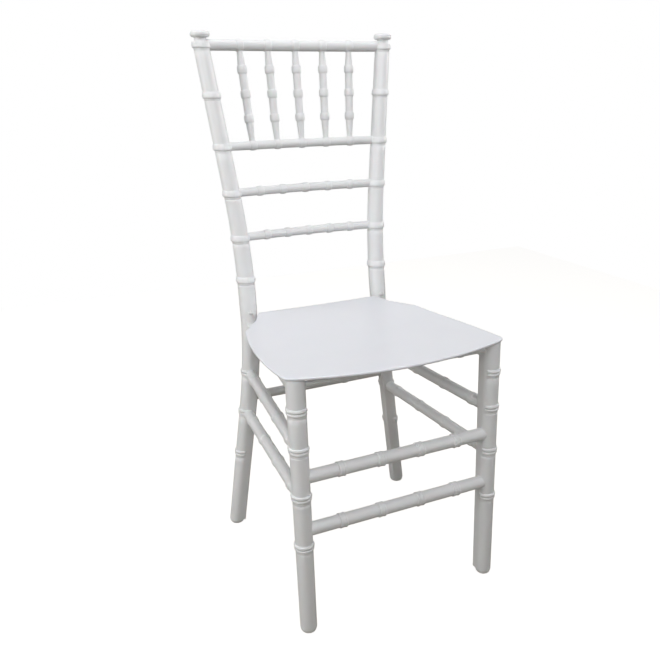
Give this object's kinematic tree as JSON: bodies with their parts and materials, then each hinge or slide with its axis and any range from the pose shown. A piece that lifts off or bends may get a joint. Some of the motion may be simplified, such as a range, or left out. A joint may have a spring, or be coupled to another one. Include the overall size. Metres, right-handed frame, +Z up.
{
  "type": "chiavari side chair",
  "caption": "White moulded plastic side chair with bamboo-style turned posts, spindle back, ringed stretchers and a solid dished seat.",
  "frame": {"origin": "on the floor, under the middle of the chair's outer box", "axes": "+Z up; the sitter faces -Y; +X is to the sitter's left; symmetric about X = 0"},
  "size_m": [0.3944, 0.4575, 0.922],
  "materials": {
    "frame_plastic": "satin",
    "seat_plastic": "satin",
    "glide_plastic": "matte",
    "stud_plastic": "satin",
    "screw_steel": "brushed"
  },
  "bodies": {
    "root": {"front_leg_left": "frame_plastic", "front_leg_right": "frame_plastic", "rear_post_left": "frame_plastic", "rear_post_right": "frame_plastic", "finial_left": "frame_plastic", "finial_right": "frame_plastic", "top_rail": "frame_plastic", "spindle_rail": "frame_plastic", "back_slat_upper": "frame_plastic", "back_slat_lower": "frame_plastic", "spindle_1": "frame_plastic", "spindle_2": "frame_plastic", "spindle_3": "frame_plastic", "spindle_4": "frame_plastic", "spindle_5": "frame_plastic", "seat_panel": "seat_plastic", "front_seat_rail": "frame_plastic", "rear_seat_rail": "frame_plastic", "side_seat_rail_left": "frame_plastic", "side_seat_rail_right": "frame_plastic", "front_stretcher_upper": "frame_plastic", "front_stretcher_lower": "frame_plastic", "rear_stretcher": "frame_plastic", "side_stretcher_left_upper": "frame_plastic", "side_stretcher_left_lower": "frame_plastic", "side_stretcher_right_upper": "frame_plastic", "side_stretcher_right_lower": "frame_plastic", "foot_glide_front_left": "glide_plastic", "foot_glide_front_right": "glide_plastic", "foot_glide_rear_left": "glide_plastic", "foot_glide_rear_right": "glide_plastic", "seat_screws": "screw_steel", "seat_stop_studs": "stud_plastic"}
  },
  "joints": []
}
